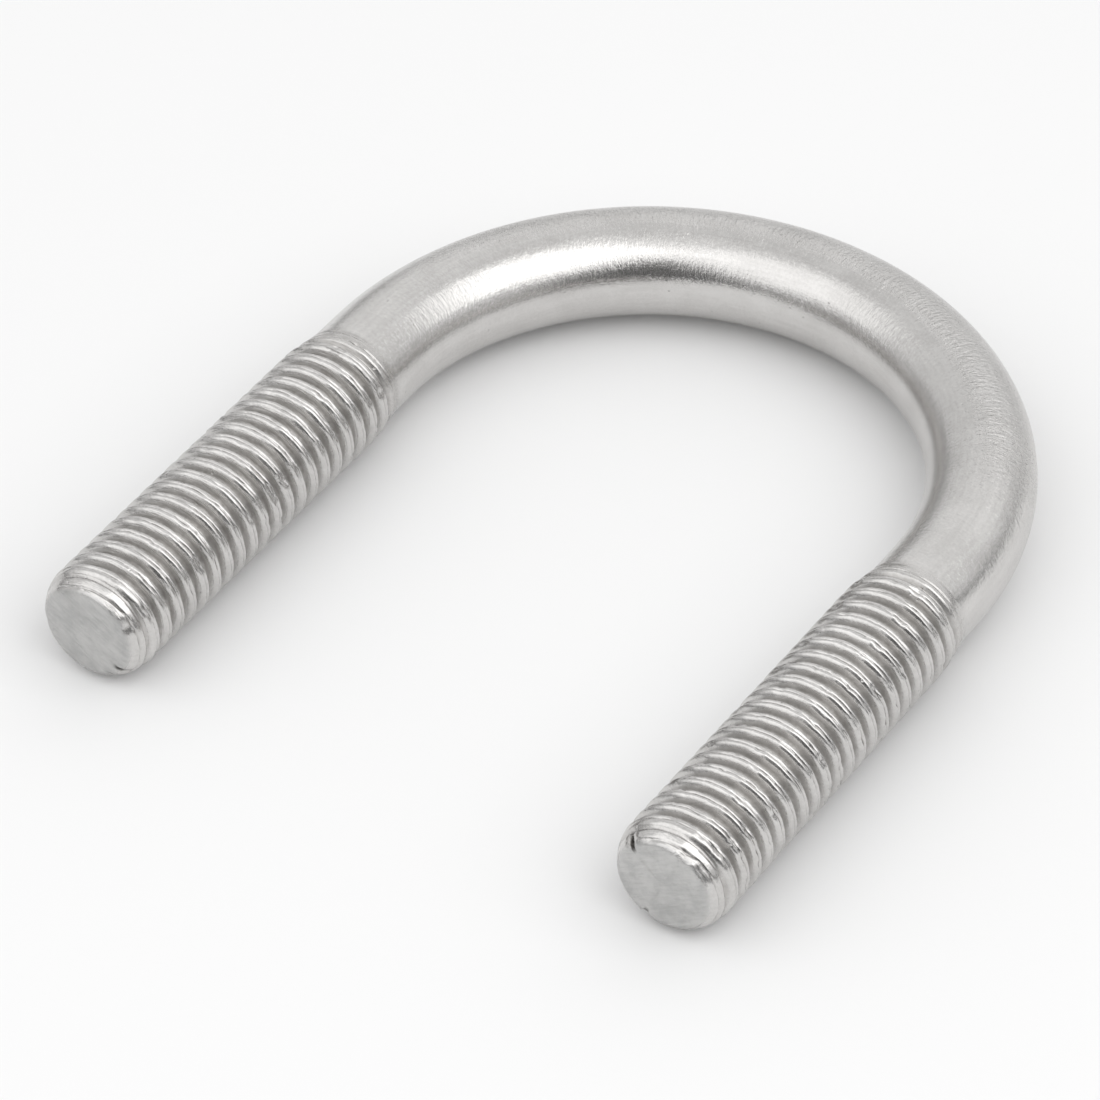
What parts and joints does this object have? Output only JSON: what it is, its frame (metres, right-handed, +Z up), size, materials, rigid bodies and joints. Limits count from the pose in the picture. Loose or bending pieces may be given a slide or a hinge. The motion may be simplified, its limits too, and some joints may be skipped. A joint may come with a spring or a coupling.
{
  "type": "u-bolt",
  "caption": "Round-bend U-bolt: a bar bent to a U with a rolled thread on each leg, for clamping a pipe or tube to a plate or rail.",
  "frame": {"origin": "centre of the bend, where the clamped pipe's axis passes, at the middle of the bar", "axes": "the bolt lies flat in the XY plane with +Z up; the legs run from the bend along -Y, one on each side of X = 0, and the crown of the bend is towards +Y"},
  "size_m": [0.0372, 0.042, 0.0058],
  "materials": {
    "stainless_steel": "satin, tumbled after bending, with brighter rolled thread crests"
  },
  "bodies": {
    "root": {"u_bolt": "stainless_steel"}
  },
  "joints": []
}
